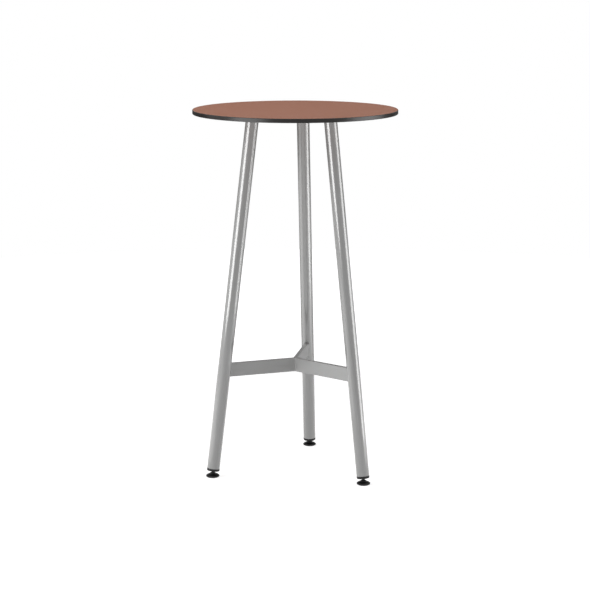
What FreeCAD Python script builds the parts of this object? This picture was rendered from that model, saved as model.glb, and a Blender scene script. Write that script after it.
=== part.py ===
"""Standing meeting table: a round compact-laminate top on three splayed steel tubes.

The tubes lean inwards, are tied by a three-armed stretcher of flat bar and stand on levelling
feet, each a threaded rod with a ball head in a swivelling glide base.
Millimetres, +Z up. The origin is on the floor, on the table's vertical axis, and the back leg
stands along +Y.
"""
import FreeCAD, Part
import math
import os
import re
import Sketcher

# ---------------------------------------------------------------------------------------------
# Driving dimensions: alias, value, what it measures
# ---------------------------------------------------------------------------------------------
SIZES = [
    ("table_height", "1086", "floor to upper surface"),
    ("top_diameter", "600", "tabletop, across"),
    ("top_thickness", "12", "compact laminate board"),
    ("top_chamfer", "1", "bevel along both rims of the tabletop"),
    ("leg_lean", "7", "degrees between a leg's axis and the vertical"),
    ("foot_circle_radius", "261.5", "table axis to the centre of a foot's ball"),
    ("tube_diameter", "38", "leg tube, outside"),
    ("tube_wall", "2", "leg tube, wall"),
    ("plate_diameter", "100", "mounting plate welded on a tube's upper end"),
    ("plate_thickness", "5", "mounting plate"),
    ("plate_chamfer", "1", "bevel along the mounting plate's lower edge"),
    ("screw_circle_diameter", "76", "circle through the four screws of a plate"),
    ("screw_diameter", "6", "screw shank"),
    ("screw_hole_diameter", "6.6", "clearance hole in the mounting plate"),
    ("screw_reach", "13", "screw shank below its head"),
    ("screw_head_diameter", "12", "button head"),
    ("screw_head_height", "3.6", "button head"),
    ("screw_head_chamfer", "1.4", "bevel of the button head"),
    ("screw_socket_width", "4", "hexagon socket in the button head, across flats"),
    ("screw_socket_depth", "2", "hexagon socket"),
    ("insert_diameter", "9", "threaded insert in the tabletop"),
    ("insert_length", "9", "threaded insert"),
    ("insert_hole_depth", "9.5", "blind hole in the tabletop's underside"),
    ("bar_width", "40", "flat bar of the stretcher, measured upright"),
    ("bar_thickness", "12", "flat bar"),
    ("bar_top_height", "343", "floor to the stretcher's upper edge"),
    ("bar_tab_length", "4", "length of bar inside the tube, past its wall"),
    ("slot_side_gap", "0.3", "between a bar and each side of its slot in the tube"),
    ("slot_top_gap", "2", "open part of the slot above the bar"),
    ("slot_bottom_gap", "0.5", "between the bar and the slot's lower end"),
    ("hub_weld_leg", "1.5", "fillet welds in the corners of the stretcher's hub"),
    ("bar_weld_leg", "2.5", "fillet welds between a bar and its tube"),
    ("plate_weld_leg", "3.5", "fillet weld between a tube and its plate"),
    ("weld_end_gap", "1", "a weld stops short of the bar's edges by this much"),
    ("weld_toe", "0.4", "thickness of a plate weld at its lower rim"),
    ("ball_height", "8", "floor to the centre of a foot's ball"),
    ("cap_height", "11.6", "ball centre to the end cap's underside, along the leg"),
    ("cap_flange", "7.5", "end cap's flange under the tube"),
    ("cap_edge_radius", "1", "rounding of the flange's lower edge"),
    ("cap_hole_diameter", "8.6", "hole in the flange round the threaded rod"),
    ("plug_length", "22", "end cap's plug inside the tube"),
    ("plug_diameter", "31", "plug between its fins"),
    ("plug_wall", "2.4", "plug's wall"),
    ("plug_fin_pitch", "5", "from one fin of the plug to the next"),
    ("plug_fin_width", "1.6", "barbed fin at its root"),
    ("plug_fin_gap", "0.05", "between a fin's crest and the tube"),
    ("plug_web_width", "2", "webs between the plug's wall and its hub"),
    ("plug_web_height", "13.5", "webs"),
    ("hub_wall", "2.2", "plastic round the threaded bush's collar"),
    ("bush_diameter", "11", "threaded bush moulded into the end cap"),
    ("bush_length", "16", "threaded bush"),
    ("bush_sunk", "4.5", "bush's lower end inside the flange"),
    ("bush_collar_diameter", "13.6", "collar that locks the bush in the plastic"),
    ("bush_collar_length", "5", "collar"),
    ("thread_diameter", "8", "levelling rod"),
    ("running_gap", "0.05", "radial clearance of the threaded rod, the spigot and the ball"),
    ("rod_length", "32", "threaded length above the ball head"),
    ("rod_chamfer", "1", "upper end of the rod"),
    ("spigot_diameter", "5", "rod's lower end inside the ball head"),
    ("spigot_length", "10", "rod's lower end"),
    ("spigot_end_gap", "0.3", "under the spigot"),
    ("ball_diameter", "12", "ball of the ball head"),
    ("neck_diameter", "7", "neck between ball and hexagon"),
    ("hexagon_height", "5.6", "ball centre to the hexagon's underside"),
    ("hexagon_width", "8", "hexagon of the ball head, across flats"),
    ("hexagon_length", "3.4", "hexagon"),
    ("base_diameter", "40", "glide base"),
    ("base_height", "12.8", "floor to the top of the glide base's boss"),
    ("base_bevel_width", "3.5", "bevel of the rim's lower edge, across"),
    ("base_bevel_height", "2.2", "bevel of the rim's lower edge, upright"),
    ("base_rim_height", "5.1", "floor to the lower end of the dome"),
    ("base_dome_radius", "16", "dome between rim and boss"),
    ("boss_diameter", "17", "boss round the ball"),
    ("boss_foot_height", "9.8", "floor to the line where dome and boss meet"),
    ("boss_edge_radius", "1", "rounding of the boss's upper edge"),
    ("lip_height", "2.6", "ball centre to the lip that holds the ball"),
    ("mouth_diameter", "13.4", "cone above the lip, at its widest"),
    ("sole_recess", "0.8", "recess in the middle of the base's underside"),
    ("sole_ring_diameter", "26", "inner edge of the ring that touches the floor"),
]

# Values worked out from the driving dimensions: name, formula
DERIVED = [
    ("tube_radius", "tube_diameter / 2"),
    ("tube_bore_radius", "tube_diameter / 2 - tube_wall"),
    ("plate_underside", "table_height - top_thickness - plate_thickness"),
    ("leg_axis_length", "(plate_underside - ball_height) / cos(leg_lean * 1 deg)"),
    ("tube_start", "cap_height + cap_flange"),
    ("tube_length", "leg_axis_length - tube_start"),
    ("tube_end_height", "ball_height + tube_start * cos(leg_lean * 1 deg)"),
    ("plate_circle_radius", "foot_circle_radius - leg_axis_length * sin(leg_lean * 1 deg)"),
    ("screw_offset", "screw_circle_diameter / 2 / sqrt(2)"),
    ("bar_underside", "bar_top_height - bar_width"),
    ("bar_top_radius", "foot_circle_radius - (bar_top_height - ball_height) * tan(leg_lean * 1 deg)"),
    ("bar_low_radius", "foot_circle_radius - (bar_underside - ball_height) * tan(leg_lean * 1 deg)"),
    ("bar_length", "bar_low_radius - tube_bore_radius / cos(leg_lean * 1 deg) + bar_tab_length"),
    ("hub_corner", "bar_thickness / sqrt(3)"),
    ("rod_start", "hexagon_height + hexagon_length"),
    ("socket_radius", "ball_diameter / 2 + running_gap"),
]

LEGS = {"left": -150, "right": -30, "back": 90}
LEG_COUNT = len(LEGS)
FIRST_LEG = LEGS["back"]
HEXAGON_SIDES = 6

document = FreeCAD.newDocument("StandingMeetingTable")
sheet = document.addObject("Spreadsheet::Sheet", "Sizes")
derived = document.addObject("App::VarSet", "Derived")
pieces = []


def fill_sheet():
    """Write each driving dimension to a cell with an alias, and its meaning beside it."""
    for row, (alias, number, meaning) in enumerate(SIZES, start=1):
        sheet.set(f"A{row}", meaning)
        sheet.set(f"B{row}", number)
        sheet.setAlias(f"B{row}", alias)
    document.recompute()


def formula(text):
    """Prefix each size's name in a formula with the object that holds it."""
    def prefix(match):
        word = match.group(0)
        if word in driving_names:
            return f"{sheet.Name}.{word}"
        if word in derived_names:
            return f"{derived.Name}.{word}"
        return word
    return re.sub(r"[a-z][a-z_]*", prefix, text)


def fill_derived():
    """Bind each worked-out value to its formula."""
    for name, text in DERIVED:
        derived.addProperty("App::PropertyFloat", name, "Derived")
        derived.setExpression(name, formula(text))
        document.recompute()


driving_names = {alias for alias, number, meaning in SIZES}
derived_names = {name for name, text in DERIVED}
fill_sheet()
fill_derived()


def value(text):
    """Number that a formula gives with the present sizes."""
    result = sheet.evalExpression(formula(text))
    return float(getattr(result, "Value", result))


# ---------------------------------------------------------------------------------------------
# Bodies, sketches and features
# ---------------------------------------------------------------------------------------------
def new_body(label):
    body = document.addObject("PartDesign::Body", label)
    body.Label = label
    pieces.append(body)
    return body


def origin_feature(body, role):
    return next(item for item in body.Origin.OriginFeatures if item.Role == role)


def place_on_leg(piece, azimuth, distance):
    """Put a piece's Z axis on a leg's axis, its origin at a distance from the ball's centre."""
    radius = f"(foot_circle_radius - ({distance}) * sin(leg_lean * 1 deg))"
    height = f"ball_height + ({distance}) * cos(leg_lean * 1 deg)"
    point = f"vector({radius} * cos({azimuth} deg); {radius} * sin({azimuth} deg); {height})"
    piece.setExpression("Placement", formula(f"placement({point}; rotation({azimuth}; -leg_lean; 0))"))


def place_upright(piece, azimuth, radius, height):
    """Put a piece upright at a radius and height, its X axis pointing away from the table axis."""
    point = f"vector(({radius}) * cos({azimuth} deg); ({radius}) * sin({azimuth} deg); {height})"
    piece.setExpression("Placement", formula(f"placement({point}; rotation({azimuth}; 0; 0))"))


def new_sketch(body, name, role, offset="0"):
    """Sketch on one of the body's own origin planes, moved along the plane's normal."""
    sketch = body.newObject("Sketcher::SketchObject", name)
    sketch.AttachmentSupport = [(origin_feature(body, role), "")]
    sketch.MapMode = "FlatFace"
    if offset != "0":
        sketch.setExpression(".AttachmentOffset.Base.z", formula(offset))
    return sketch


def bind_datum(sketch, constraint, text):
    index = sketch.addConstraint(constraint)
    sketch.setExpression(f"Constraints[{index}]", formula(text))


def fix_point(sketch, geometry, end, x, y):
    """Tie a point of the sketch to the axes by two dimensions, or put it on an axis."""
    horizontal_axis, vertical_axis, root = -1, -2, 1
    if x == "0":
        sketch.addConstraint(Sketcher.Constraint("PointOnObject", geometry, end, vertical_axis))
    else:
        datum = Sketcher.Constraint("DistanceX", horizontal_axis, root, geometry, end, value(x))
        bind_datum(sketch, datum, x)
    if y == "0":
        sketch.addConstraint(Sketcher.Constraint("PointOnObject", geometry, end, horizontal_axis))
    else:
        datum = Sketcher.Constraint("DistanceY", horizontal_axis, root, geometry, end, value(y))
        bind_datum(sketch, datum, y)


def draw_circle(sketch, diameter, x="0", y="0"):
    centre = FreeCAD.Vector(value(x), value(y), 0)
    circle = Part.Circle(centre, FreeCAD.Vector(0, 0, 1), value(diameter) / 2)
    geometry = sketch.addGeometry(circle)
    fix_point(sketch, geometry, 3, x, y)
    bind_datum(sketch, Sketcher.Constraint("Diameter", geometry, value(diameter)), diameter)


def arc_between(start, end, radius, turn):
    """Minor arc from start to end: turn is 1 for anticlockwise and -1 for clockwise."""
    middle = (start + end) / 2
    chord = end - start
    inset = math.sqrt(max(radius ** 2 - (chord.Length / 2) ** 2, 0))
    normal = FreeCAD.Vector(-chord.y, chord.x, 0).normalize()
    centre = middle + normal * inset * turn
    first, last = (start, end) if turn > 0 else (end, start)
    first_angle = math.atan2(first.y - centre.y, first.x - centre.x)
    last_angle = math.atan2(last.y - centre.y, last.x - centre.x)
    circle = Part.Circle(centre, FreeCAD.Vector(0, 0, 1), radius)
    return Part.ArcOfCircle(circle, first_angle, last_angle)


def draw_outline(sketch, corners):
    """Closed outline through the corners (x, y).

    A corner (x, y, radius, turn) starts an arc of that radius to the next corner instead of a
    line: turn is 1 for anticlockwise and -1 for clockwise.
    """
    points = [FreeCAD.Vector(value(corner[0]), value(corner[1]), 0) for corner in corners]
    edges = []
    for index, corner in enumerate(corners):
        start, end = points[index], points[(index + 1) % len(points)]
        if len(corner) == 2:
            geometry = sketch.addGeometry(Part.LineSegment(start, end))
            edges.append((geometry, 1, 2))
            continue
        radius, turn = corner[2], corner[3]
        geometry = sketch.addGeometry(arc_between(start, end, value(radius), turn))
        edges.append((geometry, 1, 2) if turn > 0 else (geometry, 2, 1))
    for index, (geometry, start_end, last_end) in enumerate(edges):
        following, following_start, following_last = edges[(index + 1) % len(edges)]
        sketch.addConstraint(
            Sketcher.Constraint("Coincident", geometry, last_end, following, following_start)
        )
    for corner, (geometry, start_end, last_end) in zip(corners, edges):
        fix_point(sketch, geometry, start_end, corner[0], corner[1])
        if len(corner) > 2:
            radius = corner[2]
            bind_datum(sketch, Sketcher.Constraint("Radius", geometry, value(radius)), radius)


def draw_hexagon(sketch, width, x="0", y="0"):
    """Regular hexagon about a point, by its width across flats."""
    corners = []
    for index in range(HEXAGON_SIDES):
        angle = 360 / HEXAGON_SIDES * (index + 0.5)
        corners.append((
            f"{x} + ({width}) / sqrt(3) * cos({angle} deg)",
            f"{y} + ({width}) / sqrt(3) * sin({angle} deg)",
        ))
    draw_outline(sketch, corners)


def pad(body, name, sketch, length, reverse=False):
    feature = body.newObject("PartDesign::Pad", name)
    feature.Profile = sketch
    feature.setExpression("Length", formula(length))
    feature.Reversed = reverse
    return feature


def pocket(body, name, sketch, depth, reverse=False, both_sides=False):
    feature = body.newObject("PartDesign::Pocket", name)
    feature.Profile = sketch
    feature.setExpression("Length", formula(depth))
    feature.Reversed = reverse
    feature.Midplane = both_sides
    return feature


def revolve(body, name, sketch):
    feature = body.newObject("PartDesign::Revolution", name)
    feature.Profile = sketch
    feature.ReferenceAxis = (sketch, ["V_Axis"])
    feature.Angle = 360
    return feature


def polar_pattern(body, name, originals, count):
    feature = body.newObject("PartDesign::PolarPattern", name)
    feature.Originals = originals
    feature.Axis = (origin_feature(body, "Z_Axis"), [""])
    feature.Angle = 360
    feature.Occurrences = count
    body.Tip = feature
    return feature


def circle_edges(feature, radius, height):
    """Names of a feature's circular edges of one radius whose plane is at one height."""
    names = []
    for index, edge in enumerate(feature.Shape.Edges, start=1):
        curve = edge.Curve
        if not isinstance(curve, Part.Circle):
            continue
        if abs(curve.Radius - radius) < 1e-4 and abs(curve.Center.z - height) < 1e-4:
            names.append(f"Edge{index}")
    return names


def dress_edges(body, kind, name, feature, edges, size):
    """Fillet or chamfer of named edges."""
    dressing = body.newObject(f"PartDesign::{kind}", name)
    dressing.Base = (feature, edges)
    dressing.setExpression("Radius" if kind == "Fillet" else "Size", formula(size))
    return dressing


# ---------------------------------------------------------------------------------------------
# Tabletop and what fixes it to the legs
# ---------------------------------------------------------------------------------------------
def screw_points():
    """Centres of one mounting plate's screws, in a frame whose X axis runs out over a leg."""
    points = []
    for along in (1, -1):
        for across in (1, -1):
            points.append((
                f"plate_circle_radius + ({along}) * screw_offset",
                f"({across}) * screw_offset",
            ))
    return points


def make_tabletop():
    body = new_body("tabletop")
    rim = new_sketch(body, "TopRim", "XY_Plane")
    draw_circle(rim, "top_diameter")
    board = pad(body, "TopBoard", rim, "top_thickness")
    holes = new_sketch(body, "InsertHoles", "XY_Plane")
    for x, y in screw_points():
        draw_circle(holes, "insert_diameter", x, y)
    drilled = pocket(body, "InsertPocket", holes, "insert_hole_depth", reverse=True)
    pattern = polar_pattern(body, "InsertPattern", [drilled], LEG_COUNT)
    document.recompute()
    radius = value("top_diameter / 2")
    rims = circle_edges(pattern, radius, 0) + circle_edges(pattern, radius, value("top_thickness"))
    dress_edges(body, "Chamfer", "TopChamfer", pattern, rims, "top_chamfer")
    place_upright(body, FIRST_LEG, "0", "table_height - top_thickness")


def make_inserts():
    """Threaded sleeves sunk in the tabletop's underside, one for each screw."""
    body = new_body("threaded_inserts")
    body.AllowCompound = True
    rings = new_sketch(body, "InsertRings", "XY_Plane")
    for x, y in screw_points():
        draw_circle(rings, "insert_diameter", x, y)
        draw_circle(rings, "screw_diameter + 2 * running_gap", x, y)
    sleeves = pad(body, "InsertSleeves", rings, "insert_length")
    polar_pattern(body, "InsertSet", [sleeves], LEG_COUNT)
    place_upright(body, FIRST_LEG, "0", "table_height - top_thickness")


def make_screws():
    """Button-head screws, up through the mounting plates into the inserts."""
    body = new_body("top_screws")
    body.AllowCompound = True
    head_circles = new_sketch(body, "ScrewHeads", "XY_Plane")
    shank_circles = new_sketch(body, "ScrewShanks", "XY_Plane")
    for x, y in screw_points():
        draw_circle(head_circles, "screw_head_diameter", x, y)
        draw_circle(shank_circles, "screw_diameter", x, y)
    sockets = new_sketch(body, "ScrewSockets", "XY_Plane", "-screw_head_height")
    for x, y in screw_points():
        draw_hexagon(sockets, "screw_socket_width", x, y)
    heads = pad(body, "Heads", head_circles, "screw_head_height", reverse=True)
    shanks = pad(body, "Shanks", shank_circles, "screw_reach")
    recess = pocket(body, "Sockets", sockets, "screw_socket_depth", reverse=True)
    pattern = polar_pattern(body, "ScrewSet", [heads, shanks, recess], LEG_COUNT)
    document.recompute()
    rims = circle_edges(pattern, value("screw_head_diameter / 2"), -value("screw_head_height"))
    dress_edges(body, "Chamfer", "HeadChamfer", pattern, rims, "screw_head_chamfer")
    place_upright(body, FIRST_LEG, "0", "plate_underside")


def make_plate(side, azimuth):
    """Round mounting plate on a tube's upper end, with four screw holes."""
    body = new_body(f"leg_plate_{side}")
    outline = new_sketch(body, f"PlateOutline_{side}", "XY_Plane")
    draw_circle(outline, "plate_diameter")
    for x, y in ((1, 1), (1, -1), (-1, 1), (-1, -1)):
        draw_circle(outline, "screw_hole_diameter", f"({x}) * screw_offset", f"({y}) * screw_offset")
    plate = pad(body, f"Plate_{side}", outline, "plate_thickness")
    document.recompute()
    rim = circle_edges(plate, value("plate_diameter / 2"), 0)
    dress_edges(body, "Chamfer", f"PlateChamfer_{side}", plate, rim, "plate_chamfer")
    place_upright(body, azimuth, "plate_circle_radius", "plate_underside")


# ---------------------------------------------------------------------------------------------
# Legs and stretcher
# ---------------------------------------------------------------------------------------------
def make_tube(side, azimuth):
    """Leg tube: square lower end, upper end mitred to lie flat under its plate, slot for the bar."""
    body = new_body(f"leg_tube_{side}")
    ring = new_sketch(body, f"TubeRing_{side}", "XY_Plane")
    draw_circle(ring, "tube_diameter")
    draw_circle(ring, "2 * tube_bore_radius")
    pad(body, f"Tube_{side}", ring, "tube_length + tube_diameter")

    mitre = new_sketch(body, f"TubeMitre_{side}", "XZ_Plane")
    rise = "tube_diameter * tan(leg_lean * 1 deg)"
    draw_outline(mitre, [
        ("-tube_diameter", f"tube_length + {rise}"),
        ("tube_diameter", f"tube_length - {rise}"),
        ("tube_diameter", "tube_length + 2 * tube_diameter"),
        ("-tube_diameter", "tube_length + 2 * tube_diameter"),
    ])
    pocket(body, f"MitreCut_{side}", mitre, "2 * tube_diameter", both_sides=True)

    slot = new_sketch(body, f"BarSlot_{side}", "YZ_Plane")
    half_width = "(bar_thickness / 2 + slot_side_gap)"
    low = (
        "(bar_underside - tube_end_height + tube_bore_radius * sin(leg_lean * 1 deg))"
        " / cos(leg_lean * 1 deg) - slot_bottom_gap"
    )
    high = (
        "(bar_top_height - tube_end_height + tube_radius * sin(leg_lean * 1 deg))"
        " / cos(leg_lean * 1 deg) + slot_top_gap"
    )
    draw_outline(slot, [
        (f"-{half_width}", low),
        (half_width, low),
        (half_width, high),
        (f"-{half_width}", high),
    ])
    pocket(body, f"SlotCut_{side}", slot, "tube_diameter")
    place_on_leg(body, azimuth, "tube_start")


def make_bar(side, azimuth):
    """Flat bar on edge: its pointed inner end meets the other two, its outer end enters the tube."""
    body = new_body(f"stretcher_bar_{side}")
    outline = new_sketch(body, f"BarOutline_{side}", "XY_Plane")
    draw_outline(outline, [
        ("0", "0"),
        ("hub_corner / 2", "-bar_thickness / 2"),
        ("bar_length", "-bar_thickness / 2"),
        ("bar_length", "bar_thickness / 2"),
        ("hub_corner / 2", "bar_thickness / 2"),
    ])
    pad(body, f"Bar_{side}", outline, "bar_width")
    place_upright(body, azimuth, "0", "bar_underside")


def make_hub_welds():
    """Upright fillet welds in the three corners between the bars."""
    body = new_body("hub_welds")
    body.AllowCompound = True
    bead = new_sketch(body, "HubBead", "XY_Plane")
    half_angle = 180 / LEG_COUNT
    reach = f"hub_corner + hub_weld_leg * cos({half_angle} deg)"
    draw_outline(bead, [
        ("hub_corner", "0"),
        (reach, f"-hub_weld_leg * sin({half_angle} deg)", "2 * hub_weld_leg", -1),
        (reach, f"hub_weld_leg * sin({half_angle} deg)"),
    ])
    run = pad(body, "HubBeadRun", bead, "bar_width - 2 * weld_end_gap")
    polar_pattern(body, "HubBeadSet", [run], LEG_COUNT)
    place_upright(body, FIRST_LEG + half_angle, "0", "bar_underside + weld_end_gap")


def make_bar_welds(side, azimuth):
    """Fillet welds on both sides of a bar where it enters the tube, along the tube's surface."""
    body = new_body(f"bar_welds_{side}")
    body.AllowCompound = True
    low = (
        "(bar_underside - tube_end_height + tube_radius * sin(leg_lean * 1 deg))"
        " / cos(leg_lean * 1 deg) + weld_end_gap"
    )
    bead = new_sketch(body, f"BarBead_{side}", "XY_Plane", low)
    half_bar = "bar_thickness / 2"
    half_angle = f"asin({half_bar} / tube_radius)"
    toe_angle = f"({half_angle} + bar_weld_leg / tube_radius * 1 rad)"
    for across in (1, -1):
        draw_outline(bead, [
            (f"-tube_radius * cos({half_angle})", f"({across}) * {half_bar}", "tube_radius", -across),
            (
                f"-tube_radius * cos{toe_angle}",
                f"({across}) * tube_radius * sin{toe_angle}",
                "2 * bar_weld_leg",
                -across,
            ),
            (f"-tube_radius * cos({half_angle}) - bar_weld_leg", f"({across}) * {half_bar}"),
        ])
    length = "bar_width / cos(leg_lean * 1 deg) - 2 * weld_end_gap - bar_weld_leg * tan(leg_lean * 1 deg)"
    pad(body, f"BarBeadRun_{side}", bead, length)
    place_on_leg(body, azimuth, "tube_start")


def make_plate_weld(side, azimuth):
    """Fillet weld round a tube's upper end: a loft between two ellipses, hollowed by the tube."""
    sections = []
    for name, leg, drop in (("Upper", "plate_weld_leg", "0"), ("Lower", "weld_toe", "plate_weld_leg")):
        ellipse = document.addObject("Part::Ellipse", f"Weld{name}_{side}")
        major = f"tube_radius / cos(leg_lean * 1 deg) + {leg}"
        ellipse.setExpression("MajorRadius", formula(major))
        ellipse.setExpression("MinorRadius", formula(f"tube_radius + {leg}"))
        radius = f"plate_circle_radius + {drop} * tan(leg_lean * 1 deg)"
        place_upright(ellipse, azimuth, radius, f"plate_underside - {drop}")
        sections.append(ellipse)
    bead = document.addObject("Part::Loft", f"WeldLoft_{side}")
    bead.Sections = sections
    bead.Solid = True
    bead.Ruled = True
    core = document.addObject("Part::Cylinder", f"WeldCore_{side}")
    core.setExpression("Radius", formula("tube_radius"))
    core.setExpression("Height", formula("2 * tube_diameter"))
    place_on_leg(core, azimuth, "leg_axis_length - tube_diameter")
    weld = document.addObject("Part::Cut", f"plate_weld_{side}")
    weld.Base = bead
    weld.Tool = core
    weld.Label = f"plate_weld_{side}"
    pieces.append(weld)


# ---------------------------------------------------------------------------------------------
# Feet
# ---------------------------------------------------------------------------------------------
def make_cap(side, azimuth):
    """Moulded end cap: flange flush with the tube, finned plug and hub round the threaded bush."""
    body = new_body(f"end_cap_{side}")
    profile = new_sketch(body, f"CapProfile_{side}", "XZ_Plane")
    hub_top = "bush_length - bush_sunk + hub_wall"
    collar_low = "(bush_length - bush_collar_length) / 2 - bush_sunk"
    collar_high = "(bush_length + bush_collar_length) / 2 - bush_sunk"
    hub_radius = "(bush_collar_diameter / 2 + hub_wall)"
    plug_radius = "plug_diameter / 2"
    corners = [
        ("cap_hole_diameter / 2", "-cap_flange"),
        ("tube_radius - cap_edge_radius", "-cap_flange", "cap_edge_radius", 1),
        ("tube_radius", "cap_edge_radius - cap_flange"),
        ("tube_radius", "0"),
        (plug_radius, "0"),
    ]
    for index in range(3):
        root = f"plug_fin_pitch * {index + 1}"
        corners += [
            (plug_radius, root),
            ("tube_bore_radius - plug_fin_gap", root),
            (plug_radius, f"{root} + plug_fin_width"),
        ]
    corners += [
        (plug_radius, "plug_length"),
        (f"{plug_radius} - plug_wall", "plug_length"),
        (f"{plug_radius} - plug_wall", "plug_wall"),
        (hub_radius, "plug_wall"),
        (hub_radius, hub_top),
        ("cap_hole_diameter / 2", hub_top),
        ("cap_hole_diameter / 2", "bush_length - bush_sunk"),
        ("bush_diameter / 2", "bush_length - bush_sunk"),
        ("bush_diameter / 2", collar_high),
        ("bush_collar_diameter / 2", collar_high),
        ("bush_collar_diameter / 2", collar_low),
        ("bush_diameter / 2", collar_low),
        ("bush_diameter / 2", "-bush_sunk"),
        ("cap_hole_diameter / 2", "-bush_sunk"),
    ]
    draw_outline(profile, corners)
    revolve(body, f"CapShell_{side}", profile)

    web = new_sketch(body, f"CapWeb_{side}", "XY_Plane")
    inner, outer = f"{hub_radius} - hub_wall / 2", f"{plug_radius} - plug_wall / 2"
    draw_outline(web, [
        (inner, "-plug_web_width / 2"),
        (outer, "-plug_web_width / 2"),
        (outer, "plug_web_width / 2"),
        (inner, "plug_web_width / 2"),
    ])
    first = pad(body, f"CapWebPad_{side}", web, "plug_web_height")
    polar_pattern(body, f"CapWebs_{side}", [first], 4)
    place_on_leg(body, azimuth, "tube_start")


def make_bush(side, azimuth):
    """Threaded steel bush moulded into the end cap, its collar locked in the plastic."""
    body = new_body(f"threaded_bush_{side}")
    profile = new_sketch(body, f"BushProfile_{side}", "XZ_Plane")
    bore = "thread_diameter / 2 + running_gap"
    low, high = "-bush_sunk", "bush_length - bush_sunk"
    collar_low = "(bush_length - bush_collar_length) / 2 - bush_sunk"
    collar_high = "(bush_length + bush_collar_length) / 2 - bush_sunk"
    draw_outline(profile, [
        (bore, low),
        ("bush_diameter / 2", low),
        ("bush_diameter / 2", collar_low),
        ("bush_collar_diameter / 2", collar_low),
        ("bush_collar_diameter / 2", collar_high),
        ("bush_diameter / 2", collar_high),
        ("bush_diameter / 2", high),
        (bore, high),
    ])
    revolve(body, f"Bush_{side}", profile)
    place_on_leg(body, azimuth, "tube_start")


def make_rod(side, azimuth):
    """Threaded levelling rod, with a thinner spigot that the ball head sits on."""
    body = new_body(f"levelling_rod_{side}")
    profile = new_sketch(body, f"RodProfile_{side}", "XZ_Plane")
    draw_outline(profile, [
        ("0", "-spigot_length"),
        ("spigot_diameter / 2", "-spigot_length"),
        ("spigot_diameter / 2", "0"),
        ("thread_diameter / 2", "0"),
        ("thread_diameter / 2", "rod_length - rod_chamfer"),
        ("thread_diameter / 2 - rod_chamfer", "rod_length"),
        ("0", "rod_length"),
    ])
    revolve(body, f"Rod_{side}", profile)
    place_on_leg(body, azimuth, "rod_start")


def make_ball_head(side, azimuth):
    """Ball, neck and the hexagon that a spanner turns, with a blind bore for the rod's spigot."""
    body = new_body(f"ball_head_{side}")
    profile = new_sketch(body, f"BallProfile_{side}", "XZ_Plane")
    neck_on_ball = "sqrt((ball_diameter / 2) ^ 2 - (neck_diameter / 2) ^ 2)"
    draw_outline(profile, [
        ("0", "-ball_diameter / 2", "ball_diameter / 2", 1),
        ("ball_diameter / 2", "0", "ball_diameter / 2", 1),
        ("neck_diameter / 2", neck_on_ball),
        ("neck_diameter / 2", "hexagon_height"),
        ("0", "hexagon_height"),
    ])
    revolve(body, f"Ball_{side}", profile)
    hexagon = new_sketch(body, f"Hexagon_{side}", "XY_Plane", "hexagon_height")
    draw_hexagon(hexagon, "hexagon_width")
    pad(body, f"HexagonPad_{side}", hexagon, "hexagon_length")
    bore = new_sketch(body, f"SpigotBore_{side}", "XY_Plane", "rod_start")
    draw_circle(bore, "spigot_diameter + 2 * running_gap")
    pocket(body, f"SpigotPocket_{side}", bore, "spigot_length + spigot_end_gap")
    place_on_leg(body, azimuth, "0")


def make_glide(side, azimuth):
    """Glide base: domed disc with a boss whose socket snaps round the ball."""
    body = new_body(f"glide_base_{side}")
    profile = new_sketch(body, f"GlideProfile_{side}", "XZ_Plane")
    rim = "base_diameter / 2"
    boss = "boss_diameter / 2"
    top = "base_height - ball_height"
    draw_outline(profile, [
        ("0", "sole_recess - ball_height"),
        ("sole_ring_diameter / 2 - sole_recess", "sole_recess - ball_height"),
        ("sole_ring_diameter / 2", "-ball_height"),
        (f"{rim} - base_bevel_width", "-ball_height"),
        (rim, "base_bevel_height - ball_height"),
        (rim, "base_rim_height - ball_height", "base_dome_radius", 1),
        (boss, "boss_foot_height - ball_height"),
        (boss, f"{top} - boss_edge_radius", "boss_edge_radius", 1),
        (f"{boss} - boss_edge_radius", top),
        ("mouth_diameter / 2", top),
        ("sqrt(socket_radius ^ 2 - lip_height ^ 2)", "lip_height", "socket_radius", -1),
        ("socket_radius", "0", "socket_radius", -1),
        ("0", "-socket_radius"),
    ])
    revolve(body, f"Glide_{side}", profile)
    place_upright(body, azimuth, "foot_circle_radius", "ball_height")


# ---------------------------------------------------------------------------------------------
# Checks and files
# ---------------------------------------------------------------------------------------------
def check_document():
    """Stop if anything failed to compute, if a piece is unsound or if a cut removed nothing."""
    for item in document.Objects:
        if "Invalid" in item.State or "Error" in item.State:
            raise RuntimeError(f"{item.Name} failed: {item.State}")
        if item.TypeId in ("PartDesign::Pocket", "PartDesign::Groove"):
            if item.Shape.Volume >= item.BaseFeature.Shape.Volume:
                raise RuntimeError(f"{item.Name} removes nothing")
    for piece in pieces:
        if piece.Shape.isNull() or not piece.Shape.isValid():
            raise RuntimeError(f"{piece.Label} has no sound shape")


def write_parts():
    os.makedirs("parts", exist_ok=True)
    for piece in pieces:
        piece.Shape.exportStep(f"parts/{piece.Label}.step")
        print(f"{piece.Label}: {len(piece.Shape.Solids)} solid(s), {piece.Shape.Volume:.1f} mm3")


make_tabletop()
make_inserts()
make_screws()
make_hub_welds()
for leg_side, leg_azimuth in LEGS.items():
    make_plate(leg_side, leg_azimuth)
    make_tube(leg_side, leg_azimuth)
    make_bar(leg_side, leg_azimuth)
    make_bar_welds(leg_side, leg_azimuth)
    make_plate_weld(leg_side, leg_azimuth)
    make_cap(leg_side, leg_azimuth)
    make_bush(leg_side, leg_azimuth)
    make_rod(leg_side, leg_azimuth)
    make_ball_head(leg_side, leg_azimuth)
    make_glide(leg_side, leg_azimuth)
document.recompute()
check_document()
write_parts()
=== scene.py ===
"""Standing meeting table: finishes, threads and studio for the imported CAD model.

Metres, +Z up, in the model's own frame: the origin is on the floor under the middle of the top
and the back leg stands along +Y.
"""
import math

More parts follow.
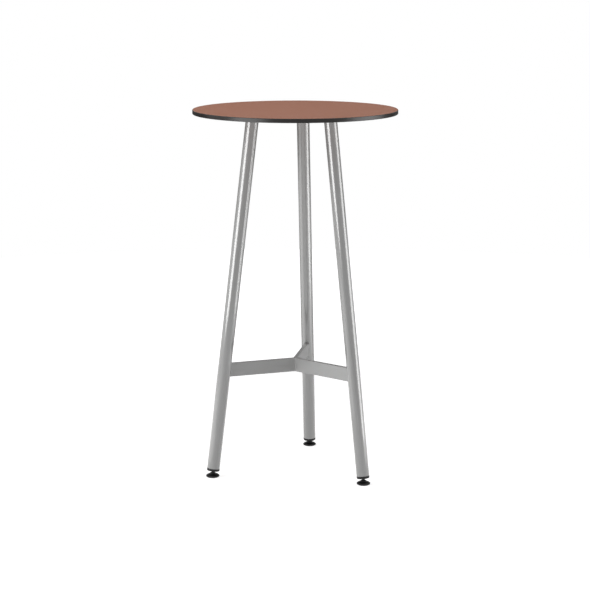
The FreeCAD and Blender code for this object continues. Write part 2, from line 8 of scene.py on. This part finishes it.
import bmesh
import bpy
from mathutils import Matrix, Vector


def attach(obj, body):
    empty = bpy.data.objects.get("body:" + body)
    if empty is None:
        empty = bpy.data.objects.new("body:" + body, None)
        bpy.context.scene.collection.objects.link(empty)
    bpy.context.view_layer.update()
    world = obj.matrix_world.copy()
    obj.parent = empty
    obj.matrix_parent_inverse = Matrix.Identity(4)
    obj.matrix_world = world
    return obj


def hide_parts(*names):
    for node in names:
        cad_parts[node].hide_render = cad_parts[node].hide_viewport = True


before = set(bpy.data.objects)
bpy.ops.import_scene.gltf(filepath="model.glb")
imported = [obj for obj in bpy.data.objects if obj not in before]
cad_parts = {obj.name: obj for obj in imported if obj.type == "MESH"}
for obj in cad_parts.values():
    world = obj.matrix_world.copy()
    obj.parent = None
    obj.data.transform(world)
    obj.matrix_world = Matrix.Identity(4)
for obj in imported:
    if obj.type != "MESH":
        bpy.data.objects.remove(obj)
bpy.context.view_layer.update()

# Azimuth of each leg, in degrees from +X
SIDES = {"left": -150, "right": -30, "back": 90}

# Sizes of the table that the threads and finishes follow, in metres and radians
LEG_LEAN = math.radians(7)
FOOT_CIRCLE_RADIUS = 0.2615
BALL_HEIGHT = 0.008
PLATE_CIRCLE_RADIUS = 0.1312
TUBE_RADIUS = 0.019
ROD_START = 0.009
ROD_LENGTH = 0.032
ROD_CHAMFER = 0.001
THREAD_RADIUS = 0.004
THREAD_PITCH = 0.00125
THREAD_DEPTH = 0.61 * THREAD_PITCH
SPIGOT_RADIUS = 0.0025
SPIGOT_LENGTH = 0.010

# The photograph's camera: place in metres, angles in radians, lens and sensor in millimetres
CAMERA_PLACE = (0.9114, -5.1686, 1.5549)
CAMERA_PITCH = math.radians(11.0065)
CAMERA_TURN = math.radians(10.009)
CAMERA_LENS = 109.73
SENSOR_WIDTH = 36.0


# ---------------------------------------------------------------------------------------------
# Shader nodes
# ---------------------------------------------------------------------------------------------
# Sockets of a Mix node that mixes colours: its factor, the two colours and the result
MIX_FACTOR, MIX_FIRST, MIX_SECOND, MIX_RESULT = 0, 6, 7, 2

# Most values of a noise lie between these
NOISE_LOW, NOISE_HIGH = 0.3, 0.7


class Shader:
    """A material with one Principled shader, and short calls that add nodes to it."""

    def __init__(self, name, **constants):
        self.material = bpy.data.materials.new(name)
        self.material.use_nodes = True
        self.tree = self.material.node_tree
        self.principled = self.tree.nodes["Principled BSDF"]
        for socket, value in constants.items():
            self.principled.inputs[socket.replace("_", " ")].default_value = value

    def feed(self, socket, value):
        """Link a socket to another one, or set its value."""
        if isinstance(value, bpy.types.NodeSocket):
            self.tree.links.new(value, socket)
        else:
            socket.default_value = value

    def add(self, kind, inputs=None, **settings):
        """New node: settings are its properties, inputs its sockets' values or links."""
        node = self.tree.nodes.new(f"ShaderNode{kind}")
        for key, setting in settings.items():
            setattr(node, key, setting)
        for socket, value in (inputs or {}).items():
            self.feed(node.inputs[socket], value)
        return node

    def place(self, scale=(1, 1, 1)):
        """Object coordinates, in metres, scaled along each axis."""
        coordinates = self.add("TexCoord").outputs["Object"]
        return self.add("Mapping", {"Vector": coordinates, "Scale": scale}).outputs["Vector"]

    def axis(self, vector, name):
        """One part of a vector, by its name: X, Y or Z."""
        return self.add("SeparateXYZ", {"Vector": vector}).outputs[name]

    def noise(self, size, detail=2.0, rough=0.5, stretch=(1, 1, 1)):
        """Noise with bumps of about one size, in metres."""
        inputs = {
            "Vector": self.place(stretch),
            "Scale": 1 / size,
            "Detail": detail,
            "Roughness": rough,
        }
        return self.add("TexNoise", inputs).outputs["Fac"]

    def math(self, operation, first, second=0.0):
        """Result of a maths node on two numbers or sockets."""
        return self.add("Math", {0: first, 1: second}, operation=operation).outputs[0]

    def ramp(self, value, low, high, out_low=0.0, out_high=1.0):
        """Value mapped from low..high to out_low..out_high, and held beyond them."""
        inputs = {
            "Value": value,
            "From Min": low,
            "From Max": high,
            "To Min": out_low,
            "To Max": out_high,
        }
        return self.add("MapRange", inputs).outputs["Result"]

    def spread(self, noise, out_low, out_high):
        """Noise mapped to out_low..out_high from the range where most of its values lie."""
        return self.ramp(noise, NOISE_LOW, NOISE_HIGH, out_low, out_high)

    def mix(self, factor, first, second):
        """Mix of two colours."""
        node = self.add("Mix", data_type="RGBA")
        self.feed(node.inputs[MIX_FACTOR], factor)
        self.feed(node.inputs[MIX_FIRST], first)
        self.feed(node.inputs[MIX_SECOND], second)
        return node.outputs[MIX_RESULT]

    def bump(self, height, distance, normal=None):
        """Relief of a 0..1 height over a distance in metres, on top of another relief."""
        inputs = {"Height": height, "Distance": distance, "Strength": 1.0}
        if normal is not None:
            inputs["Normal"] = normal
        return self.add("Bump", inputs).outputs["Normal"]

    def finish(self, colour, roughness, normal, coat_normal=None):
        """The material, with its colour, roughness and relief joined to the shader."""
        self.feed(self.principled.inputs["Base Color"], colour)
        self.feed(self.principled.inputs["Roughness"], roughness)
        self.feed(self.principled.inputs["Normal"], normal)
        if coat_normal is not None:
            self.feed(self.principled.inputs["Coat Normal"], coat_normal)
        return self.material


def srgb(red, green, blue):
    """Linear colour of display values from 0 to 255."""
    channels = []
    for level in (red, green, blue):
        share = level / 255
        channels.append(share / 12.92 if share <= 0.04045 else ((share + 0.055) / 1.055) ** 2.4)
    return (*channels, 1.0)


# ---------------------------------------------------------------------------------------------
# Finishes
# ---------------------------------------------------------------------------------------------
# A normal whose upright part is larger than this belongs to a face of the board
FACE_LIMIT = 0.95
CORE_ROUGHNESS, FACE_ROUGHNESS = 0.31, 0.7

# Roughness of the clear coat: it is duller on the rolled flat bars than on the other steel
COAT_ROUGHNESS = 0.09
FLAT_BAR_COAT_ROUGHNESS = 0.3

# Ripples of the welds, in metres, and how far noise shifts them, in radians of their wave
WELD_RIPPLE_PITCH = 0.0009
WELD_RIPPLE_DEPTH = 0.00018
WELD_RIPPLE_SHIFT = 1.5

# Height above the floor at which the wear on a glide's sole has faded out
GLIDE_WEAR_HEIGHT = 0.0008


def make_laminate():
    """Red-brown satin decor on both faces of the board, black core at its edge and bevels."""
    shader = Shader("compact_laminate", Specular_IOR_Level=0.34)
    fine = shader.noise(0.0009, rough=0.6)
    face = shader.mix(shader.noise(0.06, detail=3.0), srgb(151, 99, 77), srgb(157, 105, 82))
    face = shader.mix(shader.math("MULTIPLY", fine, 0.3), face, srgb(134, 86, 67))
    core = shader.mix(shader.noise(0.002, detail=3.0), srgb(14, 11, 9), srgb(22, 18, 16))
    normal = shader.add("NewGeometry").outputs["Normal"]
    facing_up = shader.math("ABSOLUTE", shader.axis(normal, "Z"))
    on_face = shader.math("GREATER_THAN", facing_up, FACE_LIMIT)
    pores = shader.bump(fine, 0.00001)
    relief = shader.bump(shader.noise(0.005), 0.00001, pores)
    colour = shader.mix(on_face, core, face)
    roughness = shader.ramp(on_face, 0, 1, CORE_ROUGHNESS, FACE_ROUGHNESS)
    return shader.finish(colour, roughness, relief)


def make_lacquer(name, coat_roughness=COAT_ROUGHNESS, ripples=None):
    """Silver-grey metallic lacquer: fine flakes under a clear coat with a faint orange peel.

    Ripples, given for a weld, is a function that adds its ripple height to the shader.
    """
    shader = Shader(
        name,
        Metallic=0.05,
        Specular_IOR_Level=0.2,
        Coat_Weight=1.0,
        Coat_Roughness=coat_roughness,
        Coat_IOR=1.8,
    )
    flakes = shader.noise(0.00035, detail=1.0, rough=0.6)
    base = shader.mix(flakes, srgb(127, 127, 126), srgb(145, 145, 144))
    cloud = shader.math("MULTIPLY", shader.noise(0.12), 0.3)
    base = shader.mix(cloud, base, srgb(132, 133, 135))
    relief = shader.bump(shader.noise(0.0025, detail=1.0), 0.000004)
    if ripples is not None:
        relief = shader.bump(ripples(shader), WELD_RIPPLE_DEPTH, relief)
    return shader.finish(base, shader.spread(flakes, 0.42, 0.54), relief, relief)


def ripple_wave(shader, travel):
    """Rounded ripples, one for each pitch travelled, made uneven by a little noise."""
    shift = shader.math("MULTIPLY", shader.noise(0.004), WELD_RIPPLE_SHIFT)
    phase = shader.math("MULTIPLY", travel, math.pi / WELD_RIPPLE_PITCH)
    wave = shader.math("SINE", shader.math("ADD", phase, shift))
    return shader.math("ABSOLUTE", wave)


def upright_ripples(shader):
    """Ripples of a weld that runs straight up."""
    return ripple_wave(shader, shader.axis(shader.place(), "Z"))


def round_ripples(centre):
    """Ripples of a weld that runs round a tube whose axis passes the centre (x, y)."""
    def ripples(shader):
        place = shader.place()
        across = shader.math("SUBTRACT", shader.axis(place, "X"), centre[0])
        along = shader.math("SUBTRACT", shader.axis(place, "Y"), centre[1])
        angle = shader.math("ARCTAN2", along, across)
        return ripple_wave(shader, shader.math("MULTIPLY", angle, TUBE_RADIUS))
    return ripples


def make_zinc():
    """Zinc-plated steel: bright, with a mottled film."""
    shader = Shader("zinc_steel", Metallic=1.0)
    film = shader.noise(0.003, detail=3.0)
    colour = shader.mix(film, srgb(194, 198, 202), srgb(214, 211, 202))
    relief = shader.bump(shader.noise(0.0005), 0.000006)
    return shader.finish(colour, shader.spread(film, 0.24, 0.38), relief)


def make_brass():
    """Turned brass of the threaded inserts, duller in patches."""
    shader = Shader("brass", Metallic=1.0)
    tarnish = shader.noise(0.002, detail=3.0)
    colour = shader.mix(tarnish, srgb(206, 170, 98), srgb(178, 140, 76))
    relief = shader.bump(shader.noise(0.0004), 0.000008)
    return shader.finish(colour, shader.spread(tarnish, 0.25, 0.42), relief)


def make_black_plastic():
    """Black moulded plastic with a fine eroded grain, of the end caps and ball heads."""
    shader = Shader("black_plastic", Specular_IOR_Level=0.25)
    grain = shader.noise(0.00045, rough=0.6)
    colour = shader.mix(grain, srgb(7, 7, 8), srgb(15, 15, 16))
    relief = shader.bump(grain, 0.00002)
    return shader.finish(colour, shader.spread(grain, 0.36, 0.48), relief)


def make_glide_plastic():
    """Black satin plastic of the glide bases, scuffed grey on the ring that slides."""
    shader = Shader("glide_plastic", Specular_IOR_Level=0.25)
    body = shader.mix(shader.noise(0.006, detail=3.0), srgb(7, 7, 8), srgb(14, 14, 15))
    scratches = shader.noise(0.001, detail=4.0, rough=0.7, stretch=(1, 6, 1))
    sole = shader.ramp(shader.axis(shader.place(), "Z"), 0.0, GLIDE_WEAR_HEIGHT, 1.0, 0.0)
    wear = shader.math("MULTIPLY", sole, shader.ramp(scratches, 0.45, 0.7))
    colour = shader.mix(wear, body, srgb(44, 43, 42))
    relief = shader.bump(shader.noise(0.0007), 0.00001)
    return shader.finish(colour, shader.ramp(wear, 0, 1, 0.32, 0.6), relief)


def dress(node, material):
    """Give a CAD node one finish."""
    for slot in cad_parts[node].material_slots:
        slot.material = material


# ---------------------------------------------------------------------------------------------
# Scene data
# ---------------------------------------------------------------------------------------------
def take_mesh(name, mesh):
    """New mesh data with the shape of a bmesh, which is then freed."""
    data = bpy.data.meshes.new(name)
    mesh.to_mesh(data)
    mesh.free()
    return data


def add_object(name, data):
    """New object with a mesh, a light or a camera as its data, in the scene."""
    thing = bpy.data.objects.new(name, data)
    bpy.context.scene.collection.objects.link(thing)
    return thing


# ---------------------------------------------------------------------------------------------
# Threads of the levelling rods
# ---------------------------------------------------------------------------------------------
STEPS_PER_TURN = 36

# Turns added to the rod's own for the thread's skin, half of them below it
SPARE_TURNS = 2

# One pitch of the thread's outline: (share of the pitch, share of the depth)
THREAD_PROFILE = ((0.0, 0.0), (0.125, 0.0), (0.44, 1.0), (0.685, 1.0))

# Faces that meet at a larger angle than this have a crisp edge between them
SHARP_EDGE = math.radians(25)


def leg_matrix(azimuth):
    """Puts what is drawn along +Z from a foot's ball on that leg's axis."""
    angle = math.radians(azimuth)
    spot = Vector((math.cos(angle), math.sin(angle), 0)) * FOOT_CIRCLE_RADIUS
    spot.z = BALL_HEIGHT
    turn = Matrix.Rotation(angle, 4, "Z") @ Matrix.Rotation(-LEG_LEAN, 4, "Y")
    return Matrix.Translation(spot) @ turn


def add_thread(mesh):
    """Right-handed thread as one helical skin that starts and ends beyond the rod's ends."""
    turns = math.ceil(ROD_LENGTH / THREAD_PITCH) + SPARE_TURNS
    columns = []
    for index in range(turns * STEPS_PER_TURN + 1):
        angle = 2 * math.pi * index / STEPS_PER_TURN
        column = []
        for share, depth in THREAD_PROFILE:
            height = (index / STEPS_PER_TURN + share - SPARE_TURNS / 2) * THREAD_PITCH
            bevel = THREAD_RADIUS - max(height - (ROD_LENGTH - ROD_CHAMFER), 0)
            radius = min(THREAD_RADIUS - THREAD_DEPTH * depth, bevel)
            point = (radius * math.cos(angle), radius * math.sin(angle), ROD_START + height)
            column.append(mesh.verts.new(point))
        columns.append(column)
    for index in range(len(columns) - 1):
        near, far = list(columns[index]), list(columns[index + 1])
        # The skin reaches up to the start of the next turn, where there is one
        if index + 1 + STEPS_PER_TURN < len(columns):
            near.append(columns[index + STEPS_PER_TURN][0])
            far.append(columns[index + 1 + STEPS_PER_TURN][0])
        for step in range(len(near) - 1):
            mesh.faces.new((near[step], far[step], far[step + 1], near[step + 1]))


def cut_square(mesh, height, keep_above):
    """Cut the skin by a level plane and close the cut with a flat end."""
    cut = bmesh.ops.bisect_plane(
        mesh,
        geom=mesh.verts[:] + mesh.edges[:] + mesh.faces[:],
        plane_co=(0, 0, height),
        plane_no=(0, 0, 1),
        clear_inner=keep_above,
        clear_outer=not keep_above,
    )
    rim = [item for item in cut["geom_cut"] if isinstance(item, bmesh.types.BMEdge)]
    bmesh.ops.contextual_create(mesh, geom=rim)


def make_threaded_rod(side, azimuth, material):
    """Levelling rod with a real M8 thread, and the plain spigot below it."""
    mesh = bmesh.new()
    add_thread(mesh)
    cut_square(mesh, ROD_START, keep_above=True)
    cut_square(mesh, ROD_START + ROD_LENGTH, keep_above=False)
    spigot_middle = ROD_START - SPIGOT_LENGTH / 2
    bmesh.ops.create_cone(
        mesh,
        cap_ends=True,
        segments=STEPS_PER_TURN,
        radius1=SPIGOT_RADIUS,
        radius2=SPIGOT_RADIUS,
        depth=SPIGOT_LENGTH,
        matrix=Matrix.Translation((0, 0, spigot_middle)),
    )
    mesh.transform(leg_matrix(azimuth))
    bmesh.ops.recalc_face_normals(mesh, faces=mesh.faces[:])
    data = take_mesh(f"threaded_rod_{side}", mesh)
    data.materials.append(material)
    data.shade_smooth()
    data.set_sharp_from_angle(angle=SHARP_EDGE)
    rod = add_object(f"threaded_rod_{side}", data)
    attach(rod, f"rod_{side}")
    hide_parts(f"levelling_rod_{side}")


# ---------------------------------------------------------------------------------------------
# Studio
# ---------------------------------------------------------------------------------------------
WORLD_LIGHT = 0.03

# Floor: its glow to the camera grows from near to far between the two distances from the axis
FLOOR_RADIUS = 4.0
FLOOR_SIDES = 96
FLOOR_SHADE = 0.6
FLOOR_GLOW_NEAR = 0.75
FLOOR_GLOW_FAR = 1.0
GLOW_START, GLOW_END = 0.7, 1.8

CEILING_HEIGHT = 3.9
CEILING_SIZE = 7.0
CEILING_RADIANCE = 0.55

# Softboxes: (name, azimuth in degrees from the camera, distance, lower edge, upper edge,
# width, radiance); a positive azimuth is to the right as the camera sees it
SOFTBOXES = (
    ("key_left", -52.5, 5.0, 0.2, 1.5, 3.35, 6.8),
    ("fill_left", -86, 4.0, 2.0, 4.2, 4.4, 5.8),
    ("panel_right", 77, 2.6, 0.0, 1.4, 1.45, 4.4),
    ("panel_rear", 98.5, 2.6, 0.0, 1.4, 0.5, 2.4),
)

# Bright boards just above the floor: (name, radiance, corners), where a corner is its distance to
# the right of the table's axis and beyond it, as the camera sees them
BOARDS = (
    ("board_near", 2.8, ((0.85, -0.51), (1.5, -0.81), (1.5, 0.1), (0.85, 0.1))),
    ("board_far", 6.2, ((1.5, -0.81), (2.55, -1.3), (2.55, 0.1), (1.5, 0.1))),
    ("board_left", 2.0, ((-0.6, 0.5), (-2.8, 0.5), (-2.8, -1.2), (-0.6, -0.8))),
)
BOARD_HEIGHT = 0.01

# Grey screens round the rear, for the table to reflect: (name, azimuths from the camera where it
# starts and ends, distance, lower edge, upper edge, display grey)
SCREENS = (
    ("rear_screen", 122, 232, 1.22, 0.0, 2.0, 195),
    ("upper_screen", 102, 258, 1.2, 0.65, 1.2, 110),
)
SCREEN_STEPS = 32


def level_direction(azimuth):
    """Level direction away from the table, at an azimuth in degrees from the camera's."""
    angle = math.radians(azimuth) + CAMERA_TURN
    return Vector((math.sin(angle), -math.cos(angle), 0))


def empty_material(name):
    """New material that has only its output node."""
    material = bpy.data.materials.new(name)
    material.use_nodes = True
    nodes = material.node_tree.nodes
    nodes.remove(nodes["Principled BSDF"])
    return material


def combine(tree, operation, first, second):
    """Result of a maths node that joins two sockets."""
    node = tree.nodes.new("ShaderNodeMath")
    node.operation = operation
    tree.links.new(first, node.inputs[0])
    tree.links.new(second, node.inputs[1])
    return node.outputs[0]


def background_rays(tree):
    """Two sockets: 1 for what the camera sees directly, and 1 for what it sees in a reflection."""
    path = tree.nodes.new("ShaderNodeLightPath")
    glossy = path.outputs["Is Glossy Ray"]
    mirrored = combine(tree, "MAXIMUM", glossy, path.outputs["Is Transmission Ray"])
    return path.outputs["Is Camera Ray"], mirrored


def make_world():
    """White to the eye and in reflections, and a plain even light on surfaces."""
    world = bpy.data.worlds.new("studio")
    world.use_nodes = True
    tree = world.node_tree
    shown = tree.nodes["Background"]
    shown.inputs["Color"].default_value = (1, 1, 1, 1)
    shown.inputs["Strength"].default_value = 1.0
    light = tree.nodes.new("ShaderNodeBackground")
    light.inputs["Color"].default_value = (1, 1, 1, 1)
    light.inputs["Strength"].default_value = WORLD_LIGHT
    blend = tree.nodes.new("ShaderNodeMixShader")
    tree.links.new(combine(tree, "MAXIMUM", *background_rays(tree)), blend.inputs[0])
    tree.links.new(light.outputs[0], blend.inputs[1])
    tree.links.new(shown.outputs[0], blend.inputs[2])
    tree.links.new(blend.outputs[0], tree.nodes["World Output"].inputs["Surface"])
    bpy.context.scene.world = world


def make_floor():
    """Round white floor: it takes the table's shadow and fades into the white round it.

    It glows less near the table to the camera alone, so that its shadow shows.
    """
    mesh = bmesh.new()
    bmesh.ops.create_circle(mesh, cap_ends=True, segments=FLOOR_SIDES, radius=FLOOR_RADIUS)
    data = take_mesh("studio_floor", mesh)
    material = empty_material("floor_white")
    tree = material.node_tree
    paint = tree.nodes.new("ShaderNodeBsdfDiffuse")
    paint.inputs["Color"].default_value = (FLOOR_SHADE, FLOOR_SHADE, FLOOR_SHADE, 1)
    coordinates = tree.nodes.new("ShaderNodeTexCoord")
    reach = tree.nodes.new("ShaderNodeVectorMath")
    reach.operation = "LENGTH"
    tree.links.new(coordinates.outputs["Object"], reach.inputs[0])
    fade = tree.nodes.new("ShaderNodeMapRange")
    fade.interpolation_type = "SMOOTHSTEP"
    tree.links.new(reach.outputs["Value"], fade.inputs["Value"])
    limits = (GLOW_START, GLOW_END, FLOOR_GLOW_NEAR, FLOOR_GLOW_FAR)
    for socket, limit in zip(("From Min", "From Max", "To Min", "To Max"), limits):
        fade.inputs[socket].default_value = limit
    direct, mirrored = background_rays(tree)
    direct = combine(tree, "MULTIPLY", direct, fade.outputs["Result"])
    glow = tree.nodes.new("ShaderNodeEmission")
    tree.links.new(combine(tree, "MAXIMUM", direct, mirrored), glow.inputs["Strength"])
    total = tree.nodes.new("ShaderNodeAddShader")
    tree.links.new(paint.outputs[0], total.inputs[0])
    tree.links.new(glow.outputs[0], total.inputs[1])
    tree.links.new(total.outputs[0], tree.nodes["Material Output"].inputs["Surface"])
    data.materials.append(material)
    floor = add_object("studio_floor", data)


def add_area_light(name, place, direction, width, height, radiance):
    """Rectangular lamp that shines along a direction with the same radiance at any size."""
    data = bpy.data.lights.new(name, "AREA")
    data.shape = "RECTANGLE"
    data.size = width
    data.size_y = height
    data.energy = radiance * math.pi * width * height
    lamp = add_object(name, data)
    lamp.location = place
    lamp.rotation_euler = direction.to_track_quat("-Z", "Y").to_euler()
    lamp.visible_camera = False


def make_lamps():
    """Softboxes that stand round the table and face its axis, and a ceiling above it."""
    for name, azimuth, distance, low, high, width, radiance in SOFTBOXES:
        outwards = level_direction(azimuth)
        place = outwards * distance + Vector((0, 0, (low + high) / 2))
        add_area_light(name, place, -outwards, width, high - low, radiance)
    add_area_light(
        "ceiling",
        Vector((0, 0, CEILING_HEIGHT)),
        Vector((0, 0, -1)),
        CEILING_SIZE,
        CEILING_SIZE,
        CEILING_RADIANCE,
    )


def make_screens():
    """Grey screens that stand round the rear of the table; the camera doesn't see them."""
    for name, start, end, distance, low, high, grey in SCREENS:
        paint = Shader(f"{name}_paint", Base_Color=srgb(grey, grey, grey), Roughness=1.0)
        mesh = bmesh.new()
        columns = []
        for index in range(SCREEN_STEPS + 1):
            foot = level_direction(start + (end - start) * index / SCREEN_STEPS) * distance
            columns.append([mesh.verts.new(foot + Vector((0, 0, z))) for z in (low, high)])
        for near, far in zip(columns, columns[1:]):
            mesh.faces.new((near[0], far[0], far[1], near[1]))
        data = take_mesh(name, mesh)
        data.materials.append(paint.material)
        screen = add_object(name, data)
        screen.visible_camera = False


def make_boards():
    """Glowing boards that the legs reflect; the camera doesn't see them."""
    turn = Matrix.Rotation(CAMERA_TURN, 4, "Z")
    for name, radiance, corners in BOARDS:
        data = bpy.data.meshes.new(name)
        places = [turn @ Vector((right, beyond, BOARD_HEIGHT)) for right, beyond in corners]
        data.from_pydata(places, [], [range(len(places))])
        material = empty_material(f"{name}_glow")
        tree = material.node_tree
        glow = tree.nodes.new("ShaderNodeEmission")
        glow.inputs["Strength"].default_value = radiance
        tree.links.new(glow.outputs[0], tree.nodes["Material Output"].inputs["Surface"])
        data.materials.append(material)
        board = add_object(name, data)
        board.visible_camera = False


def make_camera():
    """The photograph's camera."""
    data = bpy.data.cameras.new("camera")
    data.lens = CAMERA_LENS
    data.sensor_width = SENSOR_WIDTH
    camera = add_object("camera", data)
    camera.location = CAMERA_PLACE
    camera.rotation_euler = (math.pi / 2 - CAMERA_PITCH, 0, CAMERA_TURN)
    bpy.context.scene.camera = camera


make_camera()
make_world()
make_floor()
make_lamps()
make_boards()
make_screens()

laminate = make_laminate()
lacquer = make_lacquer("silver_lacquer")
flat_bar_lacquer = make_lacquer("silver_lacquer_flat_bar", FLAT_BAR_COAT_ROUGHNESS)
upright_bead = make_lacquer("silver_lacquer_upright_weld", ripples=upright_ripples)
zinc = make_zinc()
brass = make_brass()
black_plastic = make_black_plastic()
glide_plastic = make_glide_plastic()

dress("tabletop", laminate)
dress("threaded_inserts", brass)
dress("top_screws", zinc)
dress("hub_welds", upright_bead)
for leg_side, leg_azimuth in SIDES.items():
    leg_angle = math.radians(leg_azimuth)
    tube_top = (
        PLATE_CIRCLE_RADIUS * math.cos(leg_angle),
        PLATE_CIRCLE_RADIUS * math.sin(leg_angle),
    )
    round_bead = make_lacquer(
        f"silver_lacquer_round_weld_{leg_side}", ripples=round_ripples(tube_top)
    )
    dress(f"leg_plate_{leg_side}", lacquer)
    dress(f"leg_tube_{leg_side}", lacquer)
    dress(f"stretcher_bar_{leg_side}", flat_bar_lacquer)
    dress(f"bar_welds_{leg_side}", upright_bead)
    dress(f"plate_weld_{leg_side}", round_bead)
    dress(f"end_cap_{leg_side}", black_plastic)
    dress(f"threaded_bush_{leg_side}", zinc)
    dress(f"ball_head_{leg_side}", black_plastic)
    dress(f"glide_base_{leg_side}", glide_plastic)
    make_threaded_rod(leg_side, leg_azimuth, zinc)

bpy.context.scene.view_settings.view_transform = "Standard"
